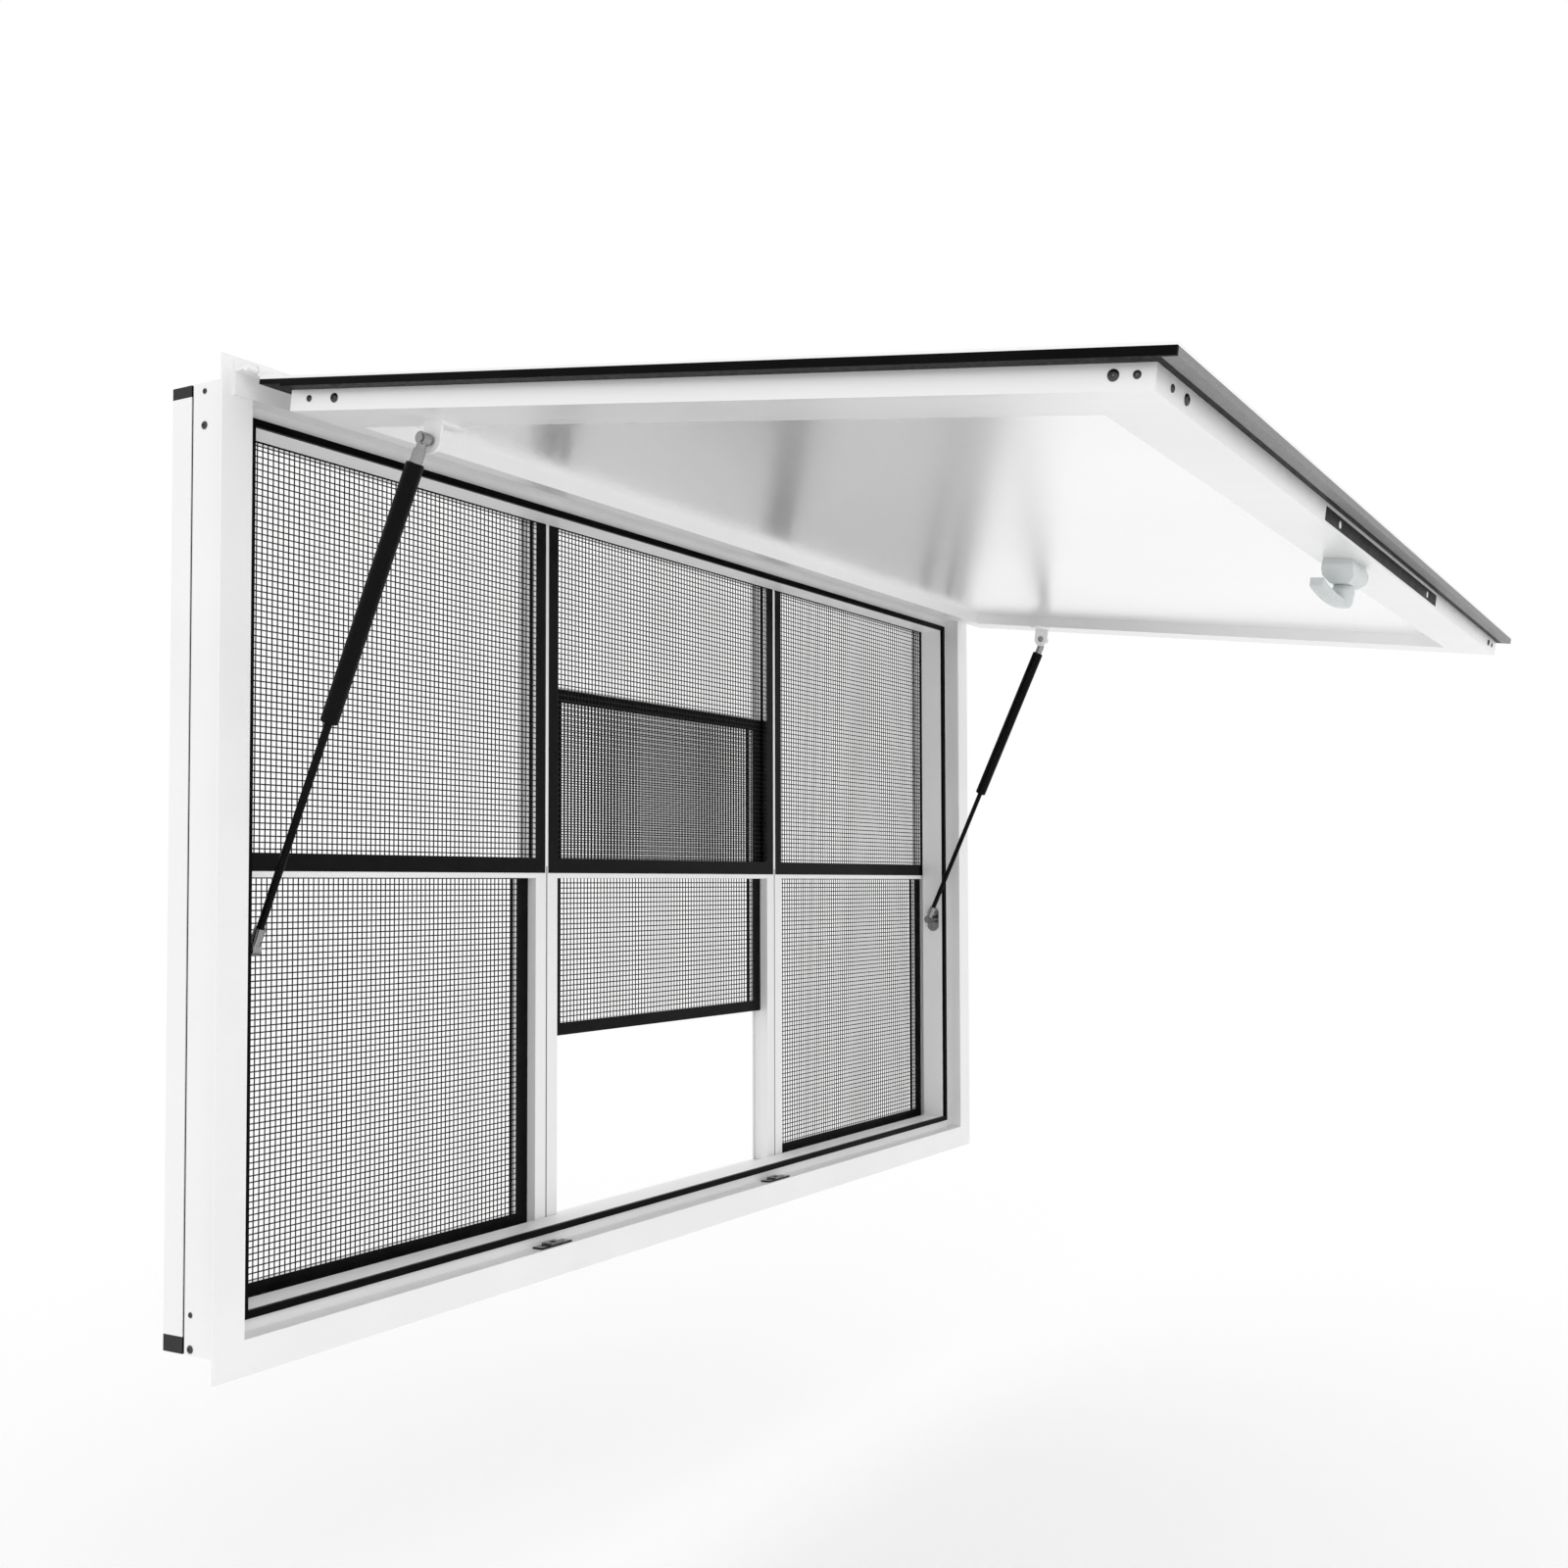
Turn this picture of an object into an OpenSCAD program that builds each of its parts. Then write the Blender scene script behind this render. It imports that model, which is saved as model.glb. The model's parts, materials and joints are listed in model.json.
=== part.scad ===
// Serving window for a food stand: an aluminium frame that fits in a wall, three screened
// window units behind it, and an awning door hinged along the top and held by two gas struts.
// X runs to the right as seen from outside, -Y points outside and +Z up. The origin is on the
// back face of the flange, in the middle of its bottom edge. The awning is drawn open.

/* [Frame] */
// Width over the flange
frame_w = 1626; // [1300:1:2000]
// Height over the flange
frame_h = 1016; // [860:1:1200]
// Thickness of the flange
flange_t = 2.5; // [1.5:0.1:4]
// How far the flange reaches past the box, over the wall
flange_over = 18; // [12:0.5:24]
// Width of the flange's face, from its edge to the opening
face_w = 36; // [30:0.5:44]
// Depth of the rebate that the closed awning lies in
rebate_d = 23.5; // [21:0.1:30]
// Height of the stop behind the rebate
stop_h = 21; // [17:0.5:26]
// Depth of the box behind the flange
box_d = 63.5; // [56:0.5:90]
// Wall of the frame's hollow section
frame_wall = 1.6; // [1.2:0.1:2.2]

/* [Gaskets] */
// Width of the rubber bead on the stop
bead_w = 8; // [5:0.5:10]
// Height of the rubber bead on the stop
bead_t = 5; // [3:0.5:6]
// Thickness of the rubber strip between the frame and the window units
clamp_gasket_t = 3; // [2:0.5:4]
// Width of the rubber strip between the frame and the window units
clamp_gasket_w = 24; // [16:0.5:30]

/* [Window units] */
// Number of window units side by side
unit_count = 3; // [3:1:3]
// Depth of a window unit
unit_d = 29; // [28:0.5:40]
// Wall of a window unit's frame
unit_wall = 2.5; // [2:0.1:3]
// Height of a unit's head member
unit_head_h = 20; // [16:0.5:26]
// Height of a unit's sill member
unit_sill_h = 32.5; // [26:0.5:33]
// Height of the meeting bar's lower edge above the flange's bottom edge
transom_z = 495.5; // [440:0.5:540]
// Height of the meeting bar
transom_h = 6.5; // [5:0.5:10]
// Width of the cover strip beside the lower sash
cover_w = 18; // [14:0.5:22]
// Height of the lower plastic corner caps
cap_low_h = 17; // [12:0.5:20]
// Height of the upper plastic corner caps
cap_top_h = 12; // [8:0.5:15]

/* [Sashes] */
// Thickness of a sash
sash_t = 12; // [10:0.1:12.5]
// Width of an upper sash's stiles
upper_stile_w = 17.7; // [14:0.1:22]
// Height of an upper sash's rails
upper_rail_h = 19.5; // [14:0.5:24]
// Width of a lower sash's stiles
lower_stile_w = 24; // [18:0.5:28]
// Height of a lower sash's rails
lower_rail_h = 16.5; // [14:0.5:22]
// How far a shut lower sash reaches above the meeting bar's lower edge
meeting_lap = 15.3; // [8:0.1:24]
// How far the middle lower sash is raised
middle_lift = 236; // [0:1:400]
// Gap between a sash and what it slides in
sash_gap = 0.3; // [0.2:0.05:0.5]
// Thickness of a screen
screen_t = 1; // [0.8:0.1:2]
// Number of openings across a screen
screen_across = 10; // [4:1:12]
// Number of openings up a screen
screen_up = 9; // [4:1:12]
// Width of the strands between a screen's openings
screen_bar = 4; // [2:0.5:6]
// Distance of a screen from the back of its sash
screen_set = 0.5; // [0.2:0.1:4]

/* [Awning] */
// Opening angle of the awning from closed
open_deg = 82.7; // [60:0.1:85]
// How far the awning's skin laps over the flange
lip_over = 10; // [6:0.5:14]
// Thickness of the awning's skin
skin_t = 2.5; // [1.5:0.1:3]
// Height of the skin's upper edge above the frame's bottom edge, less the frame's height
skin_drop = 20; // [18:0.5:24]
// Thickness of the rubber seal under the lip
seal_t = 7.5; // [6:0.5:9]
// Gap that is left to the rubber when the awning is shut
seal_gap = 2; // [1.5:0.1:3]
// Gap between the shut awning's rails and the sides of the opening
rail_side_gap = 5; // [5:0.5:8]
// Gap between the shut awning's front rail and the sill
rail_sill_gap = 10; // [9.5:0.5:12]
// Distance from the skin's upper edge to the rear rail
rear_rail_set = 30; // [28:0.5:34]
// Width of the side rails
side_rail_w = 66; // [60:0.5:76]
// Width of the rail beside the hinge
rear_rail_w = 30; // [24:0.5:40]
// Width of the front rail, which carries the lock
front_rail_w = 66; // [60:0.5:76]
// Wall of the rails
rail_wall = 1.6; // [1.2:0.1:2]
// Thickness of the panel between the rails
panel_t = 11; // [8:0.5:14]

/* [Hinge] */
// Distance of the hinge's axis in front of the flange's back face
hinge_out = 20.3; // [19.5:0.1:22]
// Distance of the hinge's axis below the frame's upper edge
hinge_drop = 14.5; // [13:0.1:15]
// Radius of the hinge's pin
pin_r = 3.2; // [2.8:0.1:3.4]
// Gap round the hinge's pin
pin_gap = 0.4; // [0.3:0.05:0.5]
// Wall of the hinge's sections
hinge_wall = 2.5; // [2:0.1:3]
// How far the awning's half of the hinge laps over the skin
leaf_h = 34; // [24:1:44]
// Distance from the frame's side to the end of the hinge
hinge_set = 13; // [10:0.5:40]

/* [Gas struts] */
// Distance of a strut from the side of the opening's stop
strut_side = 20; // [19:0.5:30]
// Depth of the lower pivot behind the flange's back face
foot_y = 41; // [38:0.5:46]
// Height of the lower pivot above the flange's bottom edge
foot_z = 420.7; // [380:0.1:460]
// Distance of the upper pivot from the skin's upper edge, along the awning
head_along = 179.4; // [160:0.1:200]
// Distance of the upper pivot from the underside of the lip
head_under = 48.4; // [46:0.1:54]
// Radius of the cylinder
tube_r = 9; // [7:0.1:10]
// Length of the cylinder
tube_len = 276; // [240:1:290]
// Depth of the cylinder's rolled ends
tube_roll = 2.4; // [1:0.1:4]
// Thickness of the cylinder's closed end
tube_wall_top = 8; // [5:0.5:12]
// Radius of the piston rod
rod_r = 4; // [3:0.1:5]
// Gap round the piston rod
rod_gap = 0.4; // [0.3:0.05:0.5]
// Length of an end fitting, from its pivot to the tube or rod
eye_len = 25; // [20:0.5:30]
// Radius of an end fitting's eye
eye_r = 6.5; // [6:0.1:8]
// Thickness of an end fitting's eye
eye_t = 10; // [8:0.5:11]
// Length of the fitting's collar beside the tube or rod
collar_h = 14; // [8:0.5:16]
// Radius of the fitting's collar
collar_r = 6; // [5:0.1:6.4]
// Radius of the pivot studs
stud_r = 3; // [2:0.1:4]
// Radius of the pivots' shoulders and heads
boss_r = 4.8; // [4:0.1:6]
// Gap between a stud and what it turns in, and between an eye and its bracket
stud_gap = 0.3; // [0.2:0.05:0.5]

/* [Brackets] */
// Thickness of the brackets' sheet
bracket_t = 3; // [2:0.1:4]
// Length of the upper bracket along the awning
ear_len = 24; // [18:1:36]
// Height of the upper bracket's ear
ear_h = 32; // [28:0.5:36]
// Width of the upper bracket's plate, from the ear to its rounded end
ear_plate_w = 36; // [28:0.5:44]
// Length of the lower bracket
foot_plate_len = 44; // [36:1:60]
// Width of the lower bracket
foot_plate_w = 22; // [18:0.5:26]

/* [Lock] */
// Half the length of the lock's face plate
lock_half = 284; // [240:1:320]
// Width of the lock's face plate
lock_w = 14; // [10:0.5:16]
// Thickness of the lock's face plate
lock_t = 2; // [1.5:0.1:3]
// Distance from the ends of the face plate to its screw holes
lock_hole_set = 57; // [20:1:90]
// How far the face plate stands out of the rail
lock_proud = 0.5; // [0.3:0.1:1]
// Place of the handle along the awning, from the middle
handle_x = -48; // [-120:1:0]
// Height of the handle's axis above the front rail's outer face
handle_up = 36; // [33:0.5:44]
// Length of the handle's housing along the awning
handle_base_l = 74; // [60:1:90]
// Width of the handle's housing
handle_base_w = 36; // [30:1:38]
// Height of the handle's housing
handle_base_h = 26; // [22:0.5:30]
// Chamfer of the housing
handle_chamfer = 7; // [4:0.5:9]
// Radius of the lever's hub
hub_r = 13.5; // [10:0.5:15]
// Height of the lever's hub
hub_h = 24; // [16:0.5:26]
// Gap under the lever's hub
hub_gap = 0.3; // [0.2:0.05:0.5]
// Turn of the lever from straight across the rail
lever_deg = 75; // [40:1:80]
// Reach of the lever from its axis
lever_reach = 60; // [45:1:66]
// Inner radius of the lever's curve
lever_curve_r = 120; // [90:1:160]
// Thickness of the lever
lever_t = 8; // [6:0.5:9]
// Width of the lever
lever_w = 17; // [12:0.5:20]

/* [Keepers] */
// Distance from the middle of the frame to the middle between the keepers
keeper_shift = -67; // [-80:1:0]
// Half the distance between the keepers
keeper_half = 249; // [220:1:280]
// Length of a keeper
keeper_l = 54; // [40:1:60]
// Width of a keeper
keeper_w = 16; // [10:0.5:18]
// Height of a keeper
keeper_h = 4.5; // [2:0.1:5]
// Radius of the hole in a keeper
keeper_hole_r = 4; // [2.5:0.5:5]

/* [Hidden] */
$fn = 48;

// Finishes
white = "white";
black = [0.08, 0.08, 0.08];
rubber = [0.05, 0.05, 0.05];
steel = "silver";
eps = 0.01;
big = 400;

// Frame
stop_u = face_w + stop_h;
box_w = frame_w - 2 * flange_over;
open_half = frame_w / 2 - face_w;
stop_half = frame_w / 2 - stop_u;

// Window units
unit_w = box_w / unit_count;
unit_y = box_d + clamp_gasket_t;
unit_z = flange_over;
unit_top = frame_h - flange_over;
sill_top = unit_z + unit_sill_h;
head_low = unit_top - unit_head_h;
transom_top = transom_z + transom_h;
jamb_w = unit_wall + cover_w;
upper_sash_y = unit_y + sash_gap;
cover_d = sash_t + 2 * sash_gap + 0.7;
lower_sash_y = unit_y + cover_d + sash_gap;
track_w = jamb_w - 4;
lip_t = 2;
lower_sash_h = transom_z + meeting_lap - sill_top - sash_gap;
lower_sash_w = unit_w - 2 * (track_w + sash_gap);
upper_sash_w = unit_w - 2 * (unit_wall + sash_gap);
cap_w = track_w;

// Awning, drawn shut and then turned open about the hinge
skin_top = frame_h - skin_drop;
lip_y = -flange_t - seal_gap - seal_t;
skin_half = open_half + lip_over;
skin_low = face_w - lip_over;
rail_half = open_half - rail_side_gap;
rail_low = face_w + rail_sill_gap;
rail_top = skin_top - rear_rail_set;
rail_d = rebate_d - bead_t - seal_gap - lip_y;
rail_under = lip_y + rail_d;
hinge_y = -hinge_out;
hinge_z = frame_h - hinge_drop;
base_leaf_low = frame_h - face_w - 3;
ring_r = pin_r + pin_gap + hinge_wall;
hinge_half = frame_w / 2 - hinge_set;

// Struts: the upper pivot shut and open, then the strut's tilt and length
strut_x = stop_half - strut_side;
head_y_shut = lip_y + head_under;
head_z_shut = skin_top - head_along;
reach_y = head_y_shut - hinge_y;
reach_z = head_z_shut - hinge_z;
head_y = hinge_y + reach_y * cos(open_deg) + reach_z * sin(open_deg);
head_z = hinge_z - reach_y * sin(open_deg) + reach_z * cos(open_deg);
strut_tilt = atan2(foot_y - head_y, head_z - foot_z);
strut_len = sqrt(pow(head_y - foot_y, 2) + pow(head_z - foot_z, 2));
strut_len_shut = sqrt(pow(head_y_shut - foot_y, 2) + pow(head_z_shut - foot_z, 2));
stroke = strut_len - strut_len_shut;
tube_low = strut_len - eye_len - tube_len;
bore_r = rod_r + rod_gap;
rod_hold = 60;
ear_out = strut_x - tube_r - stud_gap;
ear_in = ear_out - bracket_t;

// Lock and handle
lock_y = lip_y + 18.5;
handle_z = rail_low + handle_up;
hub_y = rail_under + handle_base_h + hub_gap;

// The origin lies in the middle of the flange's lower lap over the wall
module placed() {
    translate([0, 0, -flange_over / 2]) children();
}

// A hollow bar's profile run up along Z, with both ends mitred for a depth of m
module mitred(len, m) {
    intersection() {
        linear_extrude(len) children();
        rotate([90, 0, 0]) translate([0, 0, -big]) linear_extrude(2 * big)
            polygon([[0, 0], [m, m], [m, len - m], [0, len]]);
    }
}

// The same bar placed as one side of a ring that is w wide and h high, from the height z0
module ring_left(w, h, z0, m) {
    translate([-w / 2, 0, z0]) mitred(h, m) children();
}
module ring_right(w, h, z0, m) {
    mirror([1, 0, 0]) ring_left(w, h, z0, m) children();
}
module ring_low(w, h, z0, m) {
    translate([-w / 2, 0, z0]) mirror([1, 0, -1]) mitred(w, m) children();
}
module ring_top(w, h, z0, m) {
    translate([0, 0, 2 * z0 + h]) mirror([0, 0, 1]) ring_low(w, h, z0, m) children();
}

// Frame section: u runs inwards from the flange's edge, y back from the wall's face
module frame_profile() {
    w = frame_wall;
    difference() {
        polygon([[0, -flange_t], [face_w, -flange_t], [face_w, rebate_d], [stop_u, rebate_d],
            [stop_u, box_d], [flange_over, box_d], [flange_over, 0], [0, 0]]);
        polygon([[flange_over + w, 0], [face_w - w, 0], [face_w - w, rebate_d + w],
            [stop_u - w, rebate_d + w], [stop_u - w, box_d - w], [flange_over + w, box_d - w]]);
    }
}
module frame_left() { color(white) placed() ring_left(frame_w, frame_h, 0, stop_u) frame_profile(); }
module frame_right() { color(white) placed() ring_right(frame_w, frame_h, 0, stop_u) frame_profile(); }
module frame_head() { color(white) placed() ring_top(frame_w, frame_h, 0, stop_u) frame_profile(); }
module frame_sill() { color(white) placed() ring_low(frame_w, frame_h, 0, stop_u) frame_profile(); }

// A flat band that runs round inside the flange's edge at a distance, from the depth y0
module band(edge, w, y0, t) {
    translate([0, y0 + t, 0]) rotate([90, 0, 0]) linear_extrude(t) difference() {
        translate([-frame_w / 2 + edge, edge]) square([frame_w - 2 * edge, frame_h - 2 * edge]);
        translate([-frame_w / 2 + edge + w, edge + w]) square([frame_w - 2 * (edge + w), frame_h - 2 * (edge + w)]);
    }
}
module stop_gasket() {
    edge = stop_u - bead_w;
    color(rubber) placed() band(edge, bead_w, rebate_d - bead_t, bead_t);
}
module clamp_gasket() {
    edge = flange_over + 1;
    color(rubber) placed() band(edge, clamp_gasket_w, box_d, clamp_gasket_t);
}

// Window unit frames, with x from the unit's left edge
module unit_jamb(side_low, side_top) {
    d = unit_d;
    // Outer wall, rear track and rear lip as one channel
    translate([0, unit_y, side_low]) linear_extrude(side_top - side_low)
        difference() {
            union() {
                square([unit_wall, d]);
                translate([0, cover_d]) square([track_w, d - cover_d]);
                translate([0, d - lip_t]) square([jamb_w, lip_t]);
            }
            translate([unit_wall, cover_d + frame_wall]) square([track_w - unit_wall - frame_wall, d - cover_d - 2 * frame_wall]);
        }
    // Cover strip beside the lower sash, down to the sill
    translate([unit_wall, unit_y, sill_top]) linear_extrude(transom_z - sill_top)
        difference() {
            square([cover_w, cover_d]);
            translate([0, frame_wall]) square([cover_w - frame_wall, cover_d - frame_wall]);
        }
}
module unit_jambs(i) {
    color(white) placed() translate([-box_w / 2 + i * unit_w, 0, 0]) {
        unit_jamb(unit_z + cap_low_h, unit_top - cap_top_h);
        translate([unit_w, 0, 0]) mirror([1, 0, 0]) unit_jamb(unit_z + cap_low_h, unit_top - cap_top_h);
    }
}
module hollow_bar(l, d, h, w) {
    difference() {
        cube([l, d, h]);
        translate([-1, w, w]) cube([l + 2, d - 2 * w, h - 2 * w]);
    }
}
module unit_rails(i) {
    l = unit_w - 2 * jamb_w;
    color(white) placed() translate([-box_w / 2 + i * unit_w, unit_y, 0]) {
        translate([cap_w, 0, unit_z]) {
            hollow_bar(unit_w - 2 * cap_w, unit_d, cap_low_h, frame_wall);
            translate([jamb_w - cap_w, 0, cap_low_h]) hollow_bar(l, unit_d, unit_sill_h - cap_low_h, frame_wall);
        }
        translate([cap_w, 0, unit_top - cap_top_h]) hollow_bar(unit_w - 2 * cap_w, unit_d, cap_top_h, frame_wall);
        translate([jamb_w, 0, head_low]) hollow_bar(l, unit_d, unit_head_h - cap_top_h, frame_wall);
        translate([unit_wall, 0, transom_z]) hollow_bar(unit_w - 2 * unit_wall, cover_d, transom_h, frame_wall);
    }
}
module corner_caps() {
    color(black) placed() for (i = [0:unit_count - 1], s = [0, 1]) translate([-box_w / 2 + i * unit_w, unit_y, 0])
        translate([s * (unit_w - cap_w), 0, 0]) {
            translate([0, 0, unit_z]) cube([cap_w, unit_d, cap_low_h]);
            translate([0, 0, unit_top - cap_top_h]) cube([cap_w, unit_d, cap_top_h]);
        }
}

// A sash: a mitred frame with a groove for its screen
module sash(w, h, stile, rail, y, x0, z0) {
    translate([x0, y, z0]) difference() {
        cube([w, sash_t, h]);
        translate([stile, -1, rail]) cube([w - 2 * stile, sash_t + 2, h - 2 * rail]);
    }
}
function unit_x(i) = -box_w / 2 + i * unit_w;
module upper_sash(i) {
    color(black) placed() sash(upper_sash_w, head_low - transom_top - 2 * sash_gap, upper_stile_w, upper_rail_h,
        upper_sash_y, unit_x(i) + unit_wall + sash_gap, transom_top + sash_gap);
}
module lower_sash(i, lift) {
    color(black) placed() sash(lower_sash_w, lower_sash_h, lower_stile_w, lower_rail_h,
        lower_sash_y, unit_x(i) + track_w + sash_gap, sill_top + sash_gap + lift);
}
// A screen, with a coarse grid in place of its wires
module screen(w, h) {
    cell_w = (w - screen_bar) / screen_across;
    cell_h = (h - screen_bar) / screen_up;
    translate([0, screen_t, 0]) rotate([90, 0, 0]) linear_extrude(screen_t) difference() {
        square([w, h]);
        for (i = [0:screen_across - 1], j = [0:screen_up - 1])
            translate([screen_bar + i * cell_w, screen_bar + j * cell_h]) square([cell_w - screen_bar, cell_h - screen_bar]);
    }
}
module upper_screens() {
    color(black) placed() for (i = [0:unit_count - 1])
        translate([unit_x(i) + unit_wall + sash_gap + upper_stile_w, upper_sash_y + sash_t - screen_set - screen_t,
            transom_top + sash_gap + upper_rail_h])
            screen(upper_sash_w - 2 * upper_stile_w, head_low - transom_top - 2 * sash_gap - 2 * upper_rail_h);
}
module lower_screens() {
    color(black) placed() for (i = [0:unit_count - 1])
        translate([unit_x(i) + track_w + sash_gap + lower_stile_w, lower_sash_y + sash_t - screen_set - screen_t,
            sill_top + sash_gap + lower_rail_h + (i == 1 ? middle_lift : 0)])
            screen(lower_sash_w - 2 * lower_stile_w, lower_sash_h - 2 * lower_rail_h);
}

// Hinge: the frame's half carries the pin, the awning's half hooks round it
module along_x(half) {
    translate([-half, 0, 0]) rotate([90, 0, 90]) linear_extrude(2 * half) children();
}
module hinge_base() {
    leaf_top = frame_h - 3;
    color(white) placed() along_x(hinge_half) union() {
        translate([-flange_t - hinge_wall, base_leaf_low]) square([hinge_wall, leaf_top - base_leaf_low]);
        translate([hinge_y, hinge_z - hinge_wall / 2]) square([-flange_t - eps - hinge_y, hinge_wall]);
        translate([hinge_y, hinge_z]) circle(pin_r);
    }
}
module hinge_leaf() {
    leaf_y = lip_y - skin_t - hinge_wall;
    reach = 3 * ring_r;
    leaf_gap = pin_gap;
    color(white) placed() opened() along_x(skin_half) union() {
        difference() {
            translate([hinge_y, hinge_z]) circle(ring_r);
            translate([hinge_y, hinge_z]) circle(pin_r + pin_gap);
            translate([hinge_y, hinge_z]) polygon([[0, 0], [reach * cos(-28), reach * sin(-28)], [reach, reach],
                [reach * cos(112), reach * sin(112)]]);
        }
        translate([leaf_y, skin_top - leaf_h]) square([hinge_wall, leaf_h + hinge_z - skin_top - pin_r - pin_gap - leaf_gap]);
    }
}

// Turns what is drawn shut to the open angle
module opened() {
    translate([0, hinge_y, hinge_z]) rotate([-open_deg, 0, 0]) translate([0, -hinge_y, -hinge_z]) children();
}
module box3(x0, x1, y0, y1, z0, z1) {
    translate([x0, y0, z0]) cube([x1 - x0, y1 - y0, z1 - z0]);
}
module awning_skin() {
    color(white) placed() opened() box3(-skin_half, skin_half, lip_y - skin_t, lip_y, skin_low, skin_top);
}
module awning_seal() {
    head_t = seal_t - hinge_wall;
    color(rubber) placed() opened() {
        box3(-skin_half, -rail_half, lip_y, lip_y + seal_t, skin_low, rail_top);
        box3(rail_half, skin_half, lip_y, lip_y + seal_t, skin_low, rail_top);
        box3(-rail_half, rail_half, lip_y, lip_y + seal_t, skin_low, rail_low);
        box3(-skin_half, skin_half, lip_y, lip_y + head_t, rail_top, skin_top);
    }
}

// Awning rails: hollow bars cut to their mitres in plan
module rail_tube_z(x0, w) {
    difference() {
        box3(x0, x0 + w, lip_y, rail_under, rail_low, rail_top);
        box3(x0 + rail_wall, x0 + w - rail_wall, lip_y + rail_wall, rail_under - rail_wall, rail_low - 1, rail_top + 1);
    }
}
module rail_tube_x(z0, w) {
    difference() {
        box3(-rail_half, rail_half, lip_y, rail_under, z0, z0 + w);
        box3(-rail_half - 1, rail_half + 1, lip_y + rail_wall, rail_under - rail_wall, z0 + rail_wall, z0 + w - rail_wall);
    }
}
module in_plan(pts) {
    intersection() {
        rotate([90, 0, 0]) translate([0, 0, -big]) linear_extrude(2 * big) polygon(pts);
        children();
    }
}
module side_rail() {
    in_plan([[-rail_half, rail_low], [-rail_half + side_rail_w, rail_low + front_rail_w],
        [-rail_half + side_rail_w, rail_top - rear_rail_w], [-rail_half, rail_top]]) rail_tube_z(-rail_half, side_rail_w);
}
module awning_left_rail() { color(white) placed() opened() side_rail(); }
module awning_right_rail() { color(white) placed() opened() mirror([1, 0, 0]) side_rail(); }
module awning_rear_rail() {
    color(white) placed() opened() in_plan([[-rail_half, rail_top], [rail_half, rail_top],
        [rail_half - side_rail_w, rail_top - rear_rail_w], [-rail_half + side_rail_w, rail_top - rear_rail_w]])
        rail_tube_x(rail_top - rear_rail_w, rear_rail_w);
}
module awning_front_rail() {
    color(white) placed() opened() difference() {
        in_plan([[-rail_half, rail_low], [rail_half, rail_low], [rail_half - side_rail_w, rail_low + front_rail_w],
            [-rail_half + side_rail_w, rail_low + front_rail_w]]) rail_tube_x(rail_low, front_rail_w);
        box3(-lock_half, lock_half, lock_y - lock_w / 2, lock_y + lock_w / 2, rail_low - 1, rail_low + lock_t - lock_proud);
    }
}
module lock_plate() {
    color(black) placed() opened() difference() {
        box3(-lock_half, lock_half, lock_y - lock_w / 2, lock_y + lock_w / 2, rail_low - lock_proud, rail_low + lock_t - lock_proud);
        for (s = [-1, 1]) translate([s * (lock_half - lock_hole_set), lock_y, rail_low - lock_proud - 1]) cylinder(r = 2.2, h = lock_t + 2);
    }
}
module awning_panel() {
    color(white) placed() opened() box3(-rail_half + side_rail_w, rail_half - side_rail_w, lip_y, lip_y + panel_t,
        rail_low + front_rail_w, rail_top - rear_rail_w);
}

// Upper bracket: a plate under the side rail, and an ear on the inner side of the strut
module awning_bracket() {
    r = ear_len / 2;
    color(white) placed() opened() union() {
        // Plate with a rounded end and a slot for its screw
        translate([0, rail_under, head_z_shut]) rotate([-90, 0, 0]) linear_extrude(bracket_t) difference() {
            union() {
                translate([-ear_out, -r]) square([ear_plate_w - r, ear_len]);
                translate([-ear_out + ear_plate_w - r, 0]) circle(r);
            }
            for (s = [0, 1]) translate([-ear_out + ear_plate_w - r - 6 * s, 0]) circle(2.5);
            translate([-ear_out + ear_plate_w - r - 6, -2.5]) square([6, 5]);
        }
        // Ear with a round lower end
        translate([-ear_out, 0, head_z_shut]) rotate([90, 0, 90]) linear_extrude(bracket_t) difference() {
            union() {
                translate([rail_under, -r]) square([ear_h - r, ear_len]);
                translate([rail_under + ear_h - r, 0]) circle(r);
            }
            translate([head_y_shut, 0]) circle(stud_r + stud_gap);
        }
    }
}
module left_awning_bracket() { awning_bracket(); }
module right_awning_bracket() { mirror([1, 0, 0]) awning_bracket(); }

// Lower bracket: a plate on the side of the opening with a boss that the strut's eye lies against
module foot_plate() {
    r = foot_plate_w / 2;
    boss_l = stop_half - strut_x - eye_t / 2 - stud_gap;
    color(steel) placed() translate([-stop_half, foot_y, foot_z]) rotate([90, 0, 90]) union() {
        linear_extrude(bracket_t) union() {
            for (s = [-1, 1]) translate([0, s * (foot_plate_len / 2 - r)]) circle(r);
            translate([-r, -foot_plate_len / 2 + r]) square([2 * r, foot_plate_len - 2 * r]);
        }
        cylinder(r = boss_r, h = boss_l);
    }
}
module left_foot_plate() { foot_plate(); }
module right_foot_plate() { mirror([1, 0, 0]) foot_plate(); }

// Gas strut, drawn along its own axis from the lower pivot and then tilted into place
module strut_placed(side) {
    translate([side * strut_x, foot_y, foot_z]) rotate([strut_tilt, 0, 0]) children();
}

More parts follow.
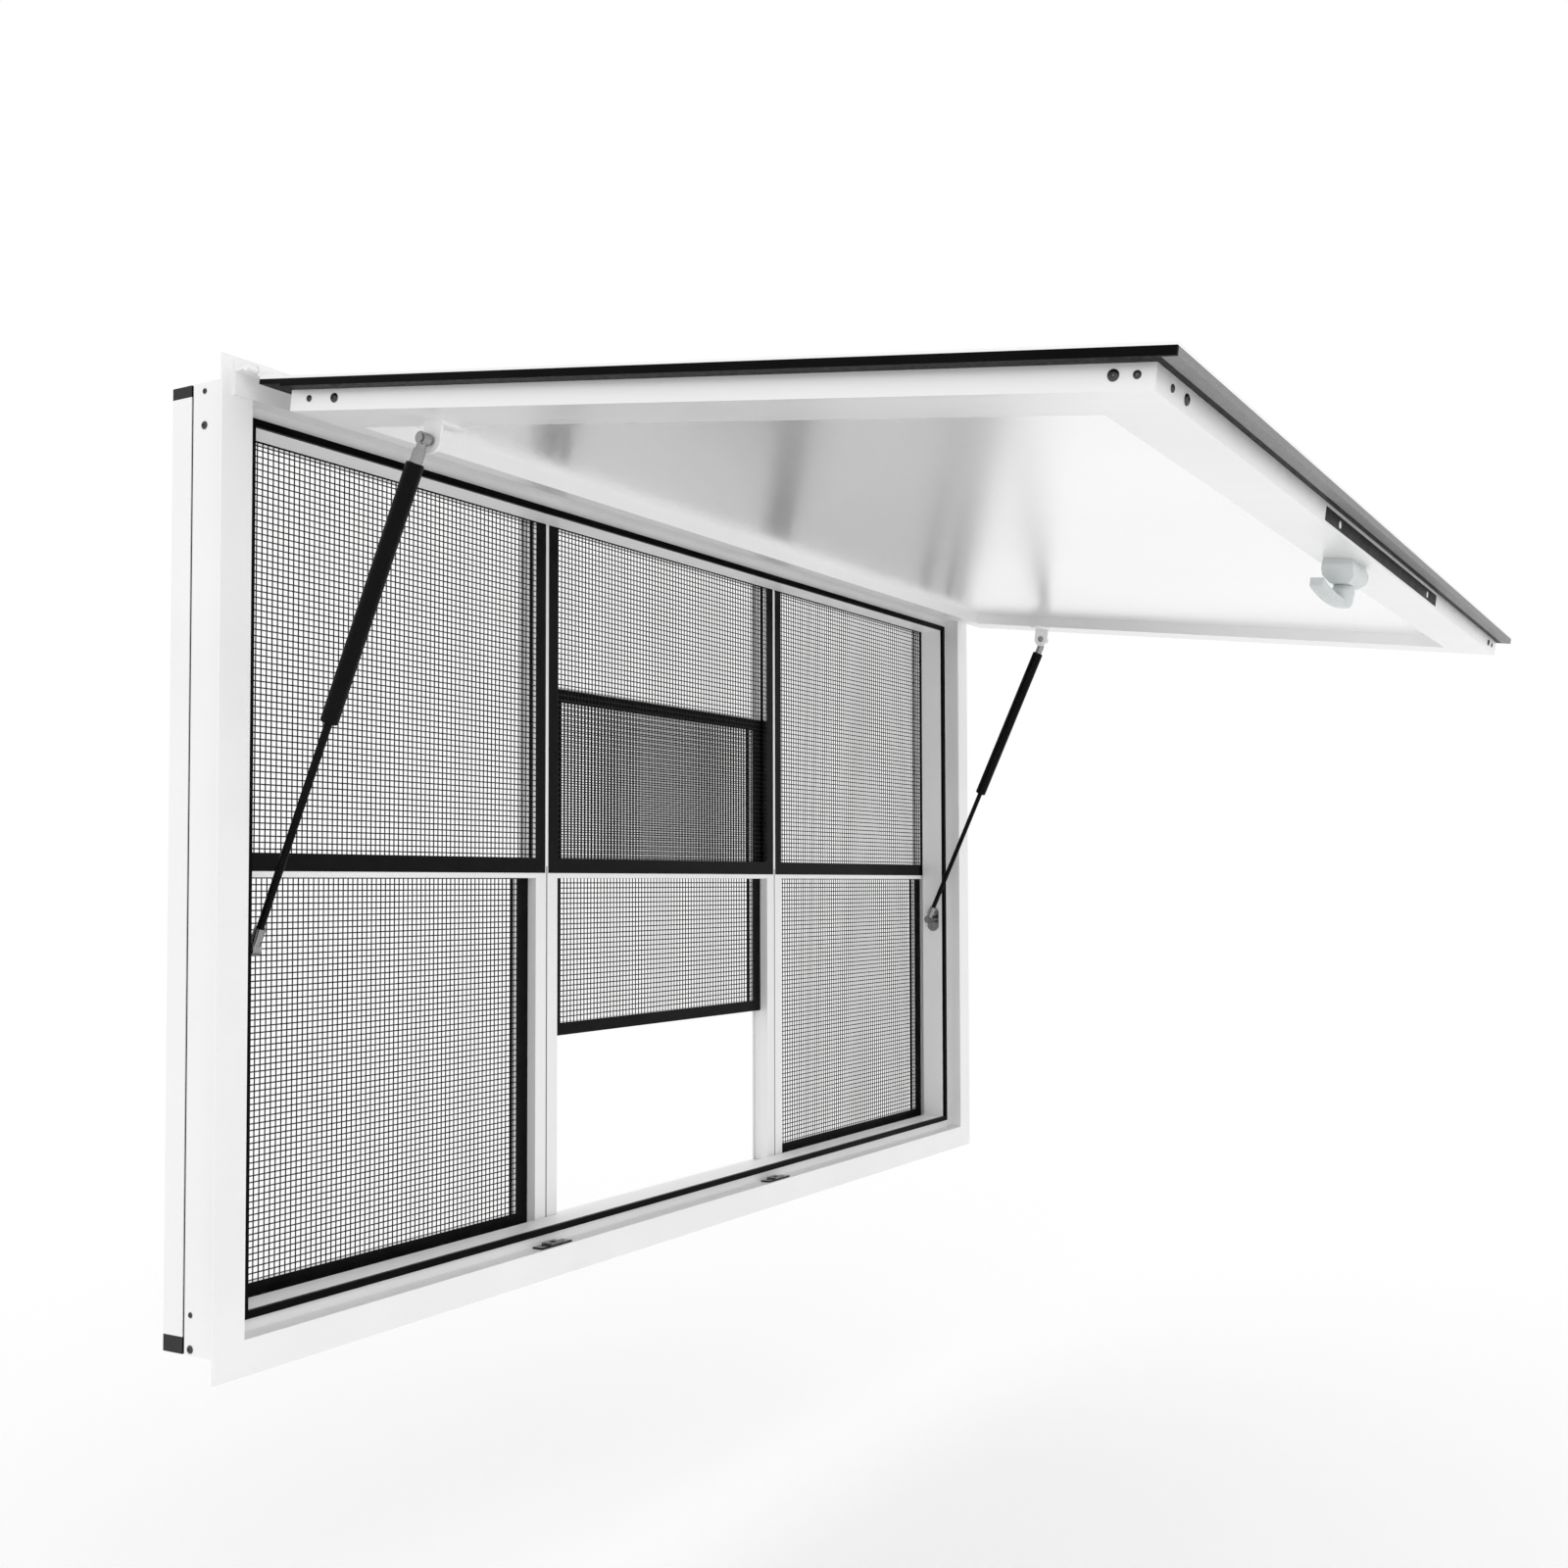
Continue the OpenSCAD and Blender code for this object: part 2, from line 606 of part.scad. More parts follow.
// An eye with its neck, and on its pivot's line a head on one side and a pin on the other, which
// has a shoulder up to the bracket, goes through it and ends in a head
module eye(side, shoulder, through) {
    e = eye_t / 2;
    shank = shoulder + through;
    rotate([0, 90 * side, 0]) rotate_extrude() polygon(through > 0
        ? [[0, -e - 1.5], [boss_r, -e - 1.5], [boss_r, -e], [eye_r, -e], [eye_r, e], [boss_r, e],
            [boss_r, shoulder], [stud_r, shoulder], [stud_r, shank], [boss_r, shank], [boss_r, shank + 1.5], [0, shank + 1.5]]
        : [[0, -e - 1.5], [boss_r, -e - 1.5], [boss_r, -e], [eye_r, -e], [eye_r, e], [0, e]]);
    translate([0, 0, 3]) cylinder(r = e - 0.2, h = eye_len - 3);
    translate([0, 0, eye_len - collar_h]) cylinder(r = collar_r, h = collar_h);
}
module strut_foot(side) {
    color(steel) placed() strut_placed(side) eye(side, 0, 0);
}
module strut_rod(side) {
    color(black) placed() strut_placed(side) translate([0, 0, eye_len]) cylinder(r = rod_r, h = tube_low + rod_hold - eye_len);
}
module strut_tube(side) {
    deep = tube_len - tube_wall_top;
    color(black) placed() strut_placed(side) translate([0, 0, tube_low]) rotate_extrude() polygon([[bore_r, 0],
        [tube_r - tube_roll, 0], [tube_r - tube_roll / 4, tube_roll / 3], [tube_r, tube_roll], [tube_r, tube_len - tube_roll],
        [tube_r - tube_roll / 4, tube_len - tube_roll / 3], [tube_r - tube_roll, tube_len], [0, tube_len], [0, deep], [bore_r, deep]]);
}
module strut_head(side) {
    color(steel) placed() strut_placed(side) translate([0, 0, strut_len]) rotate([0, 180, 0])
        eye(side, tube_r, bracket_t + 2 * stud_gap);
}
module left_strut_tube() { strut_tube(-1); }
module left_strut_head() { strut_head(-1); }
module left_strut_rod() { strut_rod(-1); }
module left_strut_foot() { strut_foot(-1); }
module right_strut_tube() { strut_tube(1); }
module right_strut_head() { strut_head(1); }
module right_strut_rod() { strut_rod(1); }
module right_strut_foot() { strut_foot(1); }

// Handle on the inside of the front rail: a chamfered housing, and a lever that turns on it
module handle_base() {
    l = handle_base_l / 2;
    w = handle_base_w / 2;
    h = handle_base_h;
    c = handle_chamfer;
    color(white) placed() opened() translate([handle_x, rail_under, handle_z]) intersection() {
        // Side view, run along the rail
        along_x(l) polygon([[0, -w + c / 2], [c, -w], [h - c, -w], [h, -w + c], [h, w - c], [h - c, w], [0, w]]);
        // Front view, run across the rail
        translate([0, 0, -w]) linear_extrude(2 * w)
            polygon([[-l + c / 2, 0], [l - c / 2, 0], [l, c], [l, h - 2 * c], [l - 2 * c, h], [-l + 2 * c, h], [-l, h - 2 * c], [-l, c]]);
    }
}
module handle_lever() {
    r = lever_curve_r;
    low = hub_h;
    color(white) placed() opened() translate([handle_x, hub_y, handle_z]) rotate([0, -lever_deg, 0]) union() {
        rotate([-90, 0, 0]) rotate_extrude() polygon([[0, 0], [hub_r - 2, 0], [hub_r, 5], [hub_r - 1.5, hub_h - 4],
            [hub_r - 4, hub_h], [0, hub_h]]);
        // Curved arm with a turned-up end
        translate([-lever_w / 2, 0, 0]) rotate([90, 0, 90]) linear_extrude(lever_w) union() {
            intersection() {
                translate([low - r - lever_t, 0]) difference() {
                    circle(r + lever_t, $fn = 120);
                    circle(r, $fn = 120);
                }
                translate([-r, 0]) square([2 * r, lever_reach]);
            }
        }
    }
}

// Keepers on the sill, each with a slot
module keepers() {
    color(steel) placed() for (s = [-1, 1]) translate([keeper_shift + s * keeper_half, 2, face_w]) difference() {
        union() {
            translate([-keeper_l / 2, 0, 0]) cube([keeper_l, keeper_w, keeper_h / 2]);
            translate([-keeper_l / 2 + keeper_w, 0, 0]) cube([keeper_l - 2 * keeper_w, keeper_w, keeper_h]);
        }
        translate([0, keeper_w / 2, -1]) cylinder(r = keeper_hole_r, h = keeper_h + 2);
        for (e = [-1, 1]) translate([e * (keeper_l - keeper_w) / 2, keeper_w / 2, -1]) cylinder(r = 1.8, h = keeper_h + 2);
    }
}

module left_unit_jambs() { unit_jambs(0); }
module middle_unit_jambs() { unit_jambs(1); }
module right_unit_jambs() { unit_jambs(2); }
module left_unit_rails() { unit_rails(0); }
module middle_unit_rails() { unit_rails(1); }
module right_unit_rails() { unit_rails(2); }
module left_upper_sash() { upper_sash(0); }
module middle_upper_sash() { upper_sash(1); }
module right_upper_sash() { upper_sash(2); }
module left_lower_sash() { lower_sash(0, 0); }
module middle_lower_sash() { lower_sash(1, middle_lift); }
module right_lower_sash() { lower_sash(2, 0); }

frame_left();
frame_right();
frame_head();
frame_sill();
stop_gasket();
clamp_gasket();
left_unit_jambs();
left_unit_rails();
middle_unit_jambs();
middle_unit_rails();
right_unit_jambs();
right_unit_rails();
corner_caps();
left_upper_sash();
middle_upper_sash();
right_upper_sash();
left_lower_sash();
middle_lower_sash();
right_lower_sash();
upper_screens();
lower_screens();
hinge_base();
hinge_leaf();
left_foot_plate();
right_foot_plate();
keepers();
awning_skin();
awning_seal();
awning_left_rail();
awning_right_rail();
awning_front_rail();
awning_rear_rail();
awning_panel();
left_awning_bracket();
right_awning_bracket();
lock_plate();
handle_base();
handle_lever();
left_strut_tube();
left_strut_head();
left_strut_rod();
left_strut_foot();
right_strut_tube();
right_strut_head();
right_strut_rod();
right_strut_foot();
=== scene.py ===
"""Dress the serving window's CAD frame: camera, light, finishes, screen wires and fasteners.

Lengths are metres in the CAD's own frame: X right as seen from outside, -Y outside, Z up.
"""

from __future__ import annotations

import json
import logging
import math
from collections.abc import Sequence
from dataclasses import dataclass, field, replace
from enum import Enum
from typing import Protocol

import bmesh
import bpy
from mathutils import Matrix, Vector

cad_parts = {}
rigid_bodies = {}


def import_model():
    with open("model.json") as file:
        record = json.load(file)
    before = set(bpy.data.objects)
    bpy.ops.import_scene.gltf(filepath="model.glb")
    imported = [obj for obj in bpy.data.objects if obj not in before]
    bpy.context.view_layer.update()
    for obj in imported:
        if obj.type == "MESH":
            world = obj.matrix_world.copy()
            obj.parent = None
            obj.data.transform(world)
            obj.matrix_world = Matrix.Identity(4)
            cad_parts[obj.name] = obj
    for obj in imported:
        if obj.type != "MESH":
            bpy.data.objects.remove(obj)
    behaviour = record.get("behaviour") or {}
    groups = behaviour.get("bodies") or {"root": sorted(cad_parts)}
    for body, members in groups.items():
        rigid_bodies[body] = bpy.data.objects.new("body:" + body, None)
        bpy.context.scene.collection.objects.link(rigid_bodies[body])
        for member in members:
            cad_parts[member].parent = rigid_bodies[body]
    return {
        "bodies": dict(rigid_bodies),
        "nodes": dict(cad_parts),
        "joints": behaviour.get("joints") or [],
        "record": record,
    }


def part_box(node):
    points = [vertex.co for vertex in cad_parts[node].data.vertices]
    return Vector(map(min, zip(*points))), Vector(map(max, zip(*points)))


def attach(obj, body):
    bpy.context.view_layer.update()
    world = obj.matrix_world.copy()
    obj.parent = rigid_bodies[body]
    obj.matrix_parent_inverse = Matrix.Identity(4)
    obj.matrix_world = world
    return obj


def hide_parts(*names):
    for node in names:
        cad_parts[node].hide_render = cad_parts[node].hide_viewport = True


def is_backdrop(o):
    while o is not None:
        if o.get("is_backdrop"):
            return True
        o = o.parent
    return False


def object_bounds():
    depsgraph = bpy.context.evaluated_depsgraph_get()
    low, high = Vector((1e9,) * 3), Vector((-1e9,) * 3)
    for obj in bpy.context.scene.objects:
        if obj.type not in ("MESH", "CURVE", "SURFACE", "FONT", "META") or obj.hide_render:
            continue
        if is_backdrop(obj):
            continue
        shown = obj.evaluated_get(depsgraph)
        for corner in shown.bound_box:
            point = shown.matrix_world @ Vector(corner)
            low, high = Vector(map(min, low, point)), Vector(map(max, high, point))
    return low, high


LOG = logging.getLogger("window")
MM = 0.001
RGB = tuple[float, float, float]
Socket = bpy.types.NodeSocket


class Body(str, Enum):
    """Rigid bodies of the frame that pieces ride on."""

    FRAME = "frame"
    AWNING = "awning"


class Axis(int, Enum):
    """Axes of the CAD's frame, by index."""

    X = 0
    Y = 1
    Z = 2


# Node trees of the finishes
class Shader:
    """Short helper for a material's node tree, with one main shader."""

    def __init__(self, name: str) -> None:
        """Make an empty material.

        Args:
            name: Its name.
        """
        self.material = bpy.data.materials.new(name)
        self.material.use_nodes = True
        self.tree = self.material.node_tree
        self.tree.nodes.clear()
        out = self.tree.nodes.new("ShaderNodeOutputMaterial")
        self.bsdf = self.tree.nodes.new("ShaderNodeBsdfPrincipled")
        self.link(self.bsdf.outputs["BSDF"], out.inputs["Surface"])
        self.coords = self.tree.nodes.new("ShaderNodeTexCoord").outputs["Object"]

    def link(self, source: Socket, target: Socket) -> None:
        """Join two sockets.

        Args:
            source: Output socket.
            target: Input socket.
        """
        self.tree.links.new(source, target)

    def set(self, **values: float | tuple[float, ...]) -> None:
        """Set plain inputs of the main shader.

        Args:
            **values: Values by input name, with underscores for spaces.
        """
        for key, value in values.items():
            self.bsdf.inputs[key.replace("_", " ")].default_value = value

    def noise(self, scale: float, detail: float = 3.0, stretch: RGB = (1.0, 1.0, 1.0)) -> Socket:
        """Noise over the object's own coordinates.

        Args:
            scale: Cells per metre.
            detail: Octaves.
            stretch: Factor along each axis.

        Returns:
            The noise value's socket.
        """
        place = self.tree.nodes.new("ShaderNodeMapping")
        place.inputs["Scale"].default_value = stretch
        self.link(self.coords, place.inputs["Vector"])
        node = self.tree.nodes.new("ShaderNodeTexNoise")
        node.inputs["Scale"].default_value = scale
        node.inputs["Detail"].default_value = detail
        self.link(place.outputs["Vector"], node.inputs["Vector"])
        return node.outputs["Fac"]

    def span(self, value: Socket, low: float, high: float, source: tuple[float, float] = (0.3, 0.7)) -> Socket:
        """Map a value to a new range, and hold it there.

        Args:
            value: Socket to map.
            low: Result at the range's start.
            high: Result at its end.
            source: The value's own range.

        Returns:
            The mapped value's socket.
        """
        node = self.tree.nodes.new("ShaderNodeMapRange")
        for key, number in zip(("From Min", "From Max", "To Min", "To Max"), (*source, low, high)):
            node.inputs[key].default_value = number
        self.link(value, node.inputs["Value"])
        return node.outputs["Result"]

    def band(self, axis: Axis, start: float, end: float) -> Socket:
        """Value of 1 between two places along an axis, and 0 outside them.

        Args:
            axis: Axis of the object's own coordinates.
            start: Lower place in metres.
            end: Upper place in metres.

        Returns:
            The value's socket.
        """
        parts = self.tree.nodes.new("ShaderNodeSeparateXYZ")
        self.link(self.coords, parts.inputs[0])
        edges = []
        for place, operation in ((start, "GREATER_THAN"), (end, "LESS_THAN")):
            test = self.tree.nodes.new("ShaderNodeMath")
            test.operation = operation
            test.inputs[1].default_value = place
            self.link(parts.outputs[int(axis)], test.inputs[0])
            edges.append(test.outputs[0])
        both = self.tree.nodes.new("ShaderNodeMath")
        both.operation = "MULTIPLY"
        self.link(edges[0], both.inputs[0])
        self.link(edges[1], both.inputs[1])
        return both.outputs[0]

    def mix(self, factor: Socket, first: RGB | Socket, second: RGB | Socket) -> Socket:
        """Mix two colours.

        Args:
            factor: Share of the second.
            first: RGB or socket at 0.
            second: RGB or socket at 1.

        Returns:
            The colour's socket.
        """
        node = self.tree.nodes.new("ShaderNodeMix")
        node.data_type = "RGBA"
        for index, colour in ((6, first), (7, second)):
            if isinstance(colour, tuple):
                node.inputs[index].default_value = (*colour, 1.0)
            else:
                self.link(colour, node.inputs[index])
        self.link(factor, node.inputs[0])
        return node.outputs[2]

    def colour(self, value: Socket) -> None:
        """Feed the base colour.

        Args:
            value: Colour socket.
        """
        self.link(value, self.bsdf.inputs["Base Color"])

    def rough(self, value: Socket) -> None:
        """Feed the roughness.

        Args:
            value: Value socket.
        """
        self.link(value, self.bsdf.inputs["Roughness"])

    def bump(self, value: Socket, height_mm: float, strength: float = 1.0) -> None:
        """Raise the surface by a value.

        Args:
            value: Height socket.
            height_mm: Height of 1 in millimetres.
            strength: Share of the effect.
        """
        node = self.tree.nodes.new("ShaderNodeBump")
        node.inputs["Strength"].default_value = strength
        node.inputs["Distance"].default_value = height_mm * MM
        self.link(value, node.inputs["Height"])
        self.link(node.outputs["Normal"], self.bsdf.inputs["Normal"])


class Finish(Protocol):
    """Anything that can make a material."""

    def make(self, name: str) -> bpy.types.Material:
        """Make the material under a name."""


@dataclass(frozen=True)
class Coat:
    """Powder coat or lacquer, with small changes of tone, an orange peel and dark joints across X."""

    dark: RGB
    light: RGB
    roughness: tuple[float, float] = (0.30, 0.40)
    specular: float = 0.5
    peel_mm: float = 0.05
    peel_scale: float = 900.0
    joints: tuple[float, ...] = ()
    joint_half: float = 0.9 * MM
    joint_top: float = 0.0

    def make(self, name: str) -> bpy.types.Material:
        """Make the material.

        Args:
            name: Its name.

        Returns:
            The material.
        """
        s = Shader(name)
        tone = s.mix(s.span(s.noise(6.0, 2.0), 0.0, 1.0), self.dark, self.light)
        for place in self.joints:
            joint = s.band(Axis.X, place - self.joint_half, place + self.joint_half)
            dark = s.mix(joint, tone, (0.012, 0.012, 0.012))
            tone = s.mix(s.band(Axis.Z, -1.0, self.joint_top), tone, dark)
        s.colour(tone)
        s.rough(s.span(s.noise(40.0), *self.roughness))
        s.bump(s.noise(self.peel_scale, 1.0), self.peel_mm, 0.5)
        s.set(Specular_IOR_Level=self.specular)
        return s.material


@dataclass(frozen=True)
class DrawnSheet:
    """Bright glossy sheet with faint streaks across the awning's depth."""

    dark: RGB = (0.94, 0.94, 0.94)
    light: RGB = (0.97, 0.97, 0.97)
    roughness: tuple[float, float] = (0.24, 0.27)
    metal: float = 0.75
    streak: RGB = (12.0, 0.4, 1.0)

    def make(self, name: str) -> bpy.types.Material:
        """Make the material.

        Args:
            name: Its name.

        Returns:
            The material.
        """
        s = Shader(name)
        s.colour(s.mix(s.span(s.noise(3.0, 2.0), 0.0, 1.0), self.dark, self.light))
        s.rough(s.span(s.noise(8.0, 2.0, self.streak), *self.roughness))
        s.bump(s.noise(12.0, 1.0, self.streak), 0.0004, 0.05)
        s.set(Metallic=self.metal)
        return s.material


@dataclass(frozen=True)
class Rubber:
    """Black extruded rubber with a faint bloom, which may carry a painted pale sheen in a band along Y, standing in for
    the light that its front face reflects.
    """

    tone: float = 0.002
    roughness: tuple[float, float] = (0.34, 0.46)
    specular: float = 0.04
    sheen_before: float | None = None
    sheen_half: float = 0.0
    sheen_tone: float = 0.20

    def make(self, name: str) -> bpy.types.Material:
        """Make the material.

        Args:
            name: Its name.

        Returns:
            The material.
        """
        s = Shader(name)
        bloom = self.tone * 1.7
        black = s.mix(s.span(s.noise(25.0, 4.0), 0.0, 1.0), (self.tone,) * 3, (bloom,) * 3)
        # Painted sheen: a pale grey band over the front face (along Y up to sheen_before, and within sheen_half of the
        # middle along X) stands in for reflected light.
        if self.sheen_before is not None:
            pale = (self.sheen_tone,) * 3
            speckled_sheen = s.mix(s.span(s.noise(900.0, 2.0), 0.0, 1.0), pale, (self.sheen_tone * 1.5,) * 3)
            front = s.mix(s.band(Axis.Y, -2.0, self.sheen_before), black, speckled_sheen)
            black = s.mix(s.band(Axis.X, -self.sheen_half, self.sheen_half), black, front)
        s.colour(black)
        s.rough(s.span(s.noise(200.0), *self.roughness))
        s.bump(s.noise(600.0, 2.0), 0.04, 0.5)
        s.set(Specular_IOR_Level=self.specular)
        return s.material


@dataclass(frozen=True)
class Steel:
    """Plated steel with fine scratches."""

    tone: float = 0.27
    roughness: tuple[float, float] = (0.10, 0.20)

    def make(self, name: str) -> bpy.types.Material:
        """Make the material.

        Args:
            name: Its name.

        Returns:
            The material.
        """
        s = Shader(name)
        bright = self.tone * 1.15
        s.colour(s.mix(s.span(s.noise(50.0), 0.0, 1.0), (self.tone,) * 3, (bright,) * 3))
        s.rough(s.span(s.noise(300.0, 4.0, (1.0, 1.0, 6.0)), *self.roughness))
        s.bump(s.noise(800.0, 2.0, (1.0, 1.0, 8.0)), 0.01, 0.3)
        s.set(Metallic=1.0)
        return s.material


@dataclass(frozen=True)
class Banded:
    """Black coat with bare bright metal in a band along one axis."""

    axis: Axis
    start: float
    end: float
    coat: RGB = (0.003, 0.003, 0.003)
    metal: RGB = (0.55, 0.55, 0.55)
    coat_roughness: float = 0.32
    metal_roughness: float = 0.14

    def make(self, name: str) -> bpy.types.Material:
        """Make the material.

        Args:
            name: Its name.

        Returns:
            The material.
        """
        s = Shader(name)
        bare = s.band(self.axis, self.start, self.end)
        mottled = s.mix(s.span(s.noise(30.0), 0.0, 1.0), self.coat, tuple(c * 2.0 for c in self.coat))
        drawn = s.mix(s.span(s.noise(80.0), 0.0, 1.0), self.metal, tuple(c * 1.1 for c in self.metal))
        s.colour(s.mix(bare, mottled, drawn))
        s.link(bare, s.bsdf.inputs["Metallic"])
        s.rough(s.span(bare, self.coat_roughness, self.metal_roughness, (0.0, 1.0)))
        s.bump(s.noise(900.0, 1.0), 0.03, 0.4)
        s.set(Specular_IOR_Level=0.06)
        return s.material


WHITE_COAT = Coat((0.84, 0.84, 0.84), (0.88, 0.88, 0.88))
# Lighter white: the paint of the strips on the lower sashes, and a painted highlight on the bevelled edges of the
# awning's rails.
STRIP_WHITE_AND_EDGE_HIGHLIGHT = Coat((0.93, 0.93, 0.93), (0.96, 0.96, 0.96), (0.25, 0.35))
HANDLE_COAT = Coat((0.58, 0.61, 0.61), (0.66, 0.69, 0.69), (0.2, 0.3), 0.5, 0.02)
BLACK_COAT = Coat((0.003, 0.003, 0.003), (0.006, 0.006, 0.006), (0.30, 0.42), 0.06, 0.04)
BLACK_LACQUER = Coat((0.002, 0.002, 0.002), (0.004, 0.004, 0.004), (0.20, 0.30), 0.07, 0.02, 700.0)
BLACK_PLASTIC = Coat((0.008, 0.008, 0.008), (0.016, 0.016, 0.016), (0.38, 0.5), 0.25, 0.03, 1500.0)
WIRE_COAT = Coat((0.006, 0.006, 0.006), (0.016, 0.016, 0.016), (0.4, 0.6), 0.2, 0.01)
SCREW_STEEL = Steel(0.07, (0.22, 0.36))
LOCK_STEEL = Steel(0.75, (0.15, 0.25))
LINING = DrawnSheet()
RAIL_SHEET = DrawnSheet((0.86, 0.86, 0.86), (0.90, 0.90, 0.90), (0.30, 0.40), 0.45)


class Paints:
    """Materials of the picture, each made once from its finish."""

    def __init__(self) -> None:
        """Start with none."""
        self.made: dict[str, bpy.types.Material] = {}

    def get(self, name: str, finish: Finish) -> bpy.types.Material:
        """Material of a name, made from its finish when it is first asked for.

        Args:
            name: Material name.
            finish: Its finish.

        Returns:
            The material.
        """
        if name not in self.made:
            self.made[name] = finish.make(name)
        return self.made[name]


# Meshes
def link_object(name: str, mesh: bpy.types.Mesh) -> bpy.types.Object:
    """Put a mesh in the scene.

    Args:
        name: Object name.
        mesh: Its mesh.

    Returns:
        The object.
    """
    obj = bpy.data.objects.new(name, mesh)
    bpy.context.scene.collection.objects.link(obj)
    return obj


def shade_by_angle(obj: bpy.types.Object, degrees: float = 35.0) -> None:
    """Smooth shading with sharp edges above an angle.

    Args:
        obj: Mesh object.
        degrees: Angle between faces from which an edge is sharp.
    """
    mesh = obj.data
    mesh.polygons.foreach_set("use_smooth", [True] * len(mesh.polygons))
    bm = bmesh.new()
    bm.from_mesh(mesh)
    limit = math.radians(degrees)
    sharp = [edge.calc_face_angle(math.pi) > limit for edge in bm.edges]
    bm.free()
    layer = mesh.attributes.get("sharp_edge") or mesh.attributes.new("sharp_edge", "BOOLEAN", "EDGE")
    layer.data.foreach_set("value", sharp)
    mesh.update()


def dress(node: str, obj: bpy.types.Object, material: bpy.types.Material, edge_mm: float = 0.4,
          edge: bpy.types.Material | None = None) -> None:
    """Give a CAD node its material and soft edges.

    Args:
        node: Node name, for the log.
        obj: The node's object.
        material: Its material.
        edge_mm: Width of its edges in millimetres, or 0 for none.
        edge: Material of its edges, where it differs.
    """
    obj.data.materials.clear()
    obj.data.materials.append(material)
    if edge is not None:
        obj.data.materials.append(edge)
    if edge_mm > 0:
        bevel = obj.modifiers.new("edge", "BEVEL")
        bevel.width = edge_mm * MM
        bevel.segments = 2
        bevel.limit_method = "ANGLE"
        bevel.angle_limit = math.radians(50)
        bevel.harden_normals = True
        bevel.material = 0 if edge is None else 1
    LOG.info("dressed %s in %s", node, material.name)


# Geometry Nodes
class NodeTree:
    """Short helper for a geometry node tree with named inputs."""

    def __init__(self, name: str) -> None:
        """Make an empty tree.

        Args:
            name: Its name.
        """
        self.tree = bpy.data.node_groups.new(name, "GeometryNodeTree")
        self.tree.interface.new_socket("Geometry", in_out="OUTPUT", socket_type="NodeSocketGeometry")
        self.ids: dict[str, str] = {}

    def add_input(self, name: str, kind: str) -> None:
        """Declare a named input of the tree.

        Args:
            name: Input name.
            kind: Socket type.
        """
        item = self.tree.interface.new_socket(name, in_out="INPUT", socket_type=kind)
        self.ids[name] = item.identifier

    def feed(self, node: bpy.types.Node, key: str | int, value: object) -> None:
        """Link a socket to a node's input, or set the input's value.

        Args:
            node: The node.
            key: Input name or index.
            value: Socket or plain value.
        """
        if isinstance(value, bpy.types.NodeSocket):
            self.tree.links.new(value, node.inputs[key])
        else:
            node.inputs[key].default_value = value

    def node(self, kind: str, **inputs: object) -> bpy.types.Node:
        """Add a node.

        Args:
            kind: Node type.
            **inputs: Sockets to link or values to set, by input name.

        Returns:
            The node.
        """
        node = self.tree.nodes.new(kind)
        for key, value in inputs.items():
            self.feed(node, key.replace("_", " "), value)
        return node

    def maths(self, operation: str, first: object, second: object) -> Socket:
        """Add a maths node.

        Args:
            operation: Its operation.
            first: First socket or value.
            second: Second socket or value.

        Returns:
            The result's socket.
        """
        node = self.tree.nodes.new("ShaderNodeMath")
        node.operation = operation
        self.feed(node, 0, first)
        self.feed(node, 1, second)
        return node.outputs[0]

    def vector(self, x: object = 0.0, y: object = 0.0, z: object = 0.0) -> Socket:
        """Join three values to a vector.

        Args:
            x: Socket or value along X.
            y: Socket or value along Y.
            z: Socket or value along Z.

        Returns:
            The vector's socket.
        """
        node = self.tree.nodes.new("ShaderNodeCombineXYZ")
        for index, value in enumerate((x, y, z)):
            self.feed(node, index, value)
        return node.outputs[0]

    def finish(self, geometry: Socket, material: Socket) -> None:
        """Realize the instances, set the material and end the tree.

        Args:
            geometry: Geometry socket.
            material: Material socket.
        """
        real = self.node("GeometryNodeRealizeInstances", Geometry=geometry)
        paint = self.node("GeometryNodeSetMaterial", Geometry=real.outputs[0], Material=material)
        out = self.tree.nodes.new("NodeGroupOutput")
        self.tree.links.new(paint.outputs[0], out.inputs[0])

    def bake(self, name: str, **values: object) -> bpy.types.Object:
        """Run the tree on an empty mesh and keep its result as a plain mesh.

        Args:
            name: Name of the new object.
            **values: The tree's inputs by name.

        Returns:
            The new object.
        """
        carrier = link_object(name + "_carrier", bpy.data.meshes.new(name + "_carrier"))
        modifier = carrier.modifiers.new("nodes", "NODES")
        modifier.node_group = self.tree
        for key, value in values.items():
            modifier[self.ids[key]] = value
        bpy.context.view_layer.update()
        graph = bpy.context.evaluated_depsgraph_get()
        mesh = bpy.data.meshes.new_from_object(carrier.evaluated_get(graph), depsgraph=graph)
        mesh.name = name
        bpy.data.objects.remove(carrier)
        return link_object(name, mesh)


